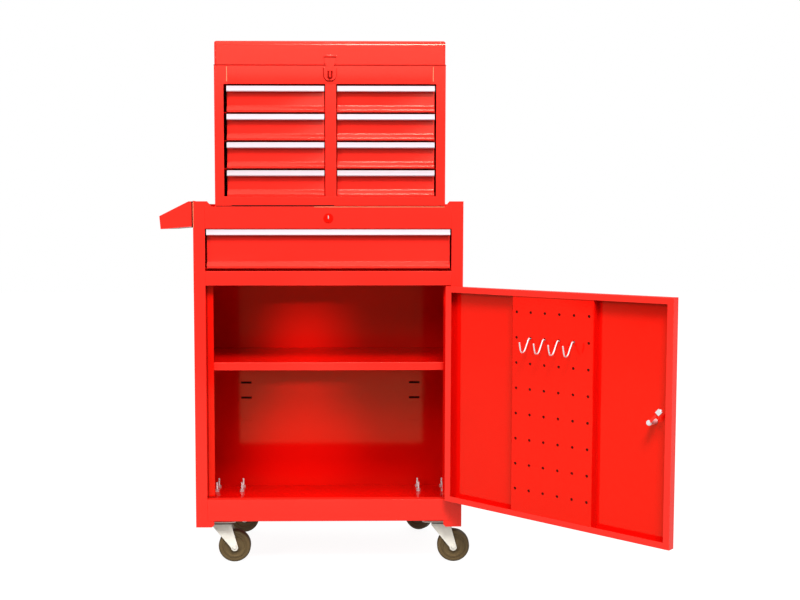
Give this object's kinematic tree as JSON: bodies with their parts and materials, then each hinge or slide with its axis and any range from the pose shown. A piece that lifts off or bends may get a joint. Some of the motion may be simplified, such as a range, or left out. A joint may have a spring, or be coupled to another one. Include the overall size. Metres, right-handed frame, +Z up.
{
  "type": "rolling tool cabinet",
  "caption": "Red steel rolling tool cabinet with a lift-off drawer chest, hinged lid, open door with peg panel, shelf, wide drawer, side tray and swivel casters.",
  "frame": {"origin": "on the floor, under the centre of the cabinet body's width and depth", "axes": "+Z up; +X to the right seen from the front; the front, with the drawers and the door, faces -Y"},
  "size_m": [0.9687, 0.6776, 1.0974],
  "materials": {
    "red_paint": "gloss",
    "aluminium": "satin",
    "zinc": "satin",
    "bright": "polished",
    "tread": "satin"
  },
  "bodies": {
    "cabinet": {"cabinet_side_left": "red_paint", "cabinet_side_right": "red_paint", "top_rail": "red_paint", "mid_rail": "red_paint", "sill_rail": "red_paint", "deck": "red_paint", "cabinet_back": "red_paint", "cabinet_floor": "red_paint", "wide_drawer_runners": "red_paint", "shelf": "red_paint", "side_tray": "red_paint", "caster_plates": "zinc", "door_hinge_fixed": "red_paint", "drawer_lock_barrel": "red_paint"},
    "chest": {"chest_side_left": "red_paint", "chest_side_right": "red_paint", "chest_till": "red_paint", "chest_foot_rail": "red_paint", "chest_partition": "red_paint", "chest_shell": "red_paint", "chest_runners": "red_paint", "lid_hinge_fixed": "red_paint", "hasp_staple": "red_paint"},
    "lid": {"lid": "red_paint", "lid_hinge_moving": "red_paint", "hasp_leaf": "red_paint"},
    "hasp": {"hasp_strap": "red_paint"},
    "wide_drawer": {"wide_drawer": "red_paint", "wide_drawer_pull": "aluminium"},
    "door": {"door_pan": "red_paint", "peg_panel": "red_paint", "peg_hooks": "bright", "door_hinge_moving": "red_paint", "door_lock_barrel": "bright"},
    "door_cam": {"door_lock_cam": "bright"},
    "drawer_lock": {"drawer_lock_plug": "red_paint"},
    "drawer_left_1": {"drawer_left_1": "red_paint", "drawer_left_1_pull": "aluminium"},
    "drawer_left_2": {"drawer_left_2": "red_paint", "drawer_left_2_pull": "aluminium"},
    "drawer_left_3": {"drawer_left_3": "red_paint", "drawer_left_3_pull": "aluminium"},
    "drawer_left_4": {"drawer_left_4": "red_paint", "drawer_left_4_pull": "aluminium"},
    "drawer_right_1": {"drawer_right_1": "red_paint", "drawer_right_1_pull": "aluminium"},
    "drawer_right_2": {"drawer_right_2": "red_paint", "drawer_right_2_pull": "aluminium"},
    "drawer_right_3": {"drawer_right_3": "red_paint", "drawer_right_3_pull": "aluminium"},
    "drawer_right_4": {"drawer_right_4": "red_paint", "drawer_right_4_pull": "aluminium"},
    "fork_front_left": {"caster_front_left_fork": "zinc"},
    "wheel_front_left": {"caster_front_left_wheel": "tread"},
    "fork_front_right": {"caster_front_right_fork": "zinc"},
    "wheel_front_right": {"caster_front_right_wheel": "tread"},
    "fork_rear_left": {"caster_rear_left_fork": "zinc"},
    "wheel_rear_left": {"caster_rear_left_wheel": "tread"},
    "fork_rear_right": {"caster_rear_right_fork": "zinc"},
    "wheel_rear_right": {"caster_rear_right_wheel": "tread"}
  },
  "joints": [
    {"name": "chest_lift", "type": "slide", "parent": "cabinet", "child": "chest", "axis": [0, 0, 1], "range_m": [0, 0.08]},
    {"name": "lid_hinge", "type": "hinge", "parent": "chest", "child": "lid", "pos_m": [0.0038, 0.1206, 1.0485], "axis": [-1, 0, 0], "range_deg": [0, 100]},
    {"name": "hasp_hinge", "type": "hinge", "parent": "lid", "child": "hasp", "pos_m": [0.0038, -0.1473, 1.066], "axis": [-1, 0, 0], "range_deg": [0, 150]},
    {"name": "drawer_left_1_slide", "type": "slide", "parent": "chest", "child": "drawer_left_1", "axis": [0, -1, 0], "range_m": [0, 0.19]},
    {"name": "drawer_left_2_slide", "type": "slide", "parent": "chest", "child": "drawer_left_2", "axis": [0, -1, 0], "range_m": [0, 0.19]},
    {"name": "drawer_left_3_slide", "type": "slide", "parent": "chest", "child": "drawer_left_3", "axis": [0, -1, 0], "range_m": [0, 0.19]},
    {"name": "drawer_left_4_slide", "type": "slide", "parent": "chest", "child": "drawer_left_4", "axis": [0, -1, 0], "range_m": [0, 0.19]},
    {"name": "drawer_right_1_slide", "type": "slide", "parent": "chest", "child": "drawer_right_1", "axis": [0, -1, 0], "range_m": [0, 0.19]},
    {"name": "drawer_right_2_slide", "type": "slide", "parent": "chest", "child": "drawer_right_2", "axis": [0, -1, 0], "range_m": [0, 0.19]},
    {"name": "drawer_right_3_slide", "type": "slide", "parent": "chest", "child": "drawer_right_3", "axis": [0, -1, 0], "range_m": [0, 0.19]},
    {"name": "drawer_right_4_slide", "type": "slide", "parent": "chest", "child": "drawer_right_4", "axis": [0, -1, 0], "range_m": [0, 0.19]},
    {"name": "wide_drawer_slide", "type": "slide", "parent": "cabinet", "child": "wide_drawer", "axis": [0, -1, 0], "range_m": [0, 0.2]},
    {"name": "door_hinge", "type": "hinge", "parent": "cabinet", "child": "door", "pos_m": [0.2545, -0.1526, 0.36895], "axis": [0, 0, 1], "range_deg": [-136.2, 34]},
    {"name": "door_cam_turn", "type": "hinge", "parent": "door", "child": "door_cam", "pos_m": [0.59063, -0.47854, 0.3692], "axis": [-0.6921, -0.7218, 0], "range_deg": [-48, 42]},
    {"name": "drawer_lock_turn", "type": "hinge", "parent": "cabinet", "child": "drawer_lock", "pos_m": [0, -0.15, 0.7337], "axis": [0, 1, 0], "range_deg": [0, 90]},
    {"name": "front_left_swivel", "type": "hinge", "parent": "cabinet", "child": "fork_front_left", "pos_m": [-0.2345, -0.11, 0.086], "axis": [0, 0, 1], "continuous": true},
    {"name": "front_left_roll", "type": "hinge", "parent": "fork_front_left", "child": "wheel_front_left", "pos_m": [-0.20252, -0.10888, 0.0343], "axis": [-0.0349, 0.9994, 0], "continuous": true},
    {"name": "front_right_swivel", "type": "hinge", "parent": "cabinet", "child": "fork_front_right", "pos_m": [0.2345, -0.11, 0.086], "axis": [0, 0, 1], "continuous": true},
    {"name": "front_right_roll", "type": "hinge", "parent": "fork_front_right", "child": "wheel_front_right", "pos_m": [0.26642, -0.11223, 0.0343], "axis": [0.0698, 0.9976, 0], "continuous": true},
    {"name": "rear_left_swivel", "type": "hinge", "parent": "cabinet", "child": "fork_rear_left", "pos_m": [-0.2345, 0.11, 0.086], "axis": [0, 0, 1], "continuous": true},
    {"name": "rear_left_roll", "type": "hinge", "parent": "fork_rear_left", "child": "wheel_rear_left", "pos_m": [-0.20267, 0.11335, 0.0343], "axis": [-0.1045, 0.9945, 0], "continuous": true},
    {"name": "rear_right_swivel", "type": "hinge", "parent": "cabinet", "child": "fork_rear_right", "pos_m": [0.2345, 0.11, 0.086], "axis": [0, 0, 1], "continuous": true},
    {"name": "rear_right_roll", "type": "hinge", "parent": "fork_rear_right", "child": "wheel_rear_right", "pos_m": [0.20894, 0.12926, 0.0343], "axis": [-0.6018, -0.7986, 0], "continuous": true}
  ]
}
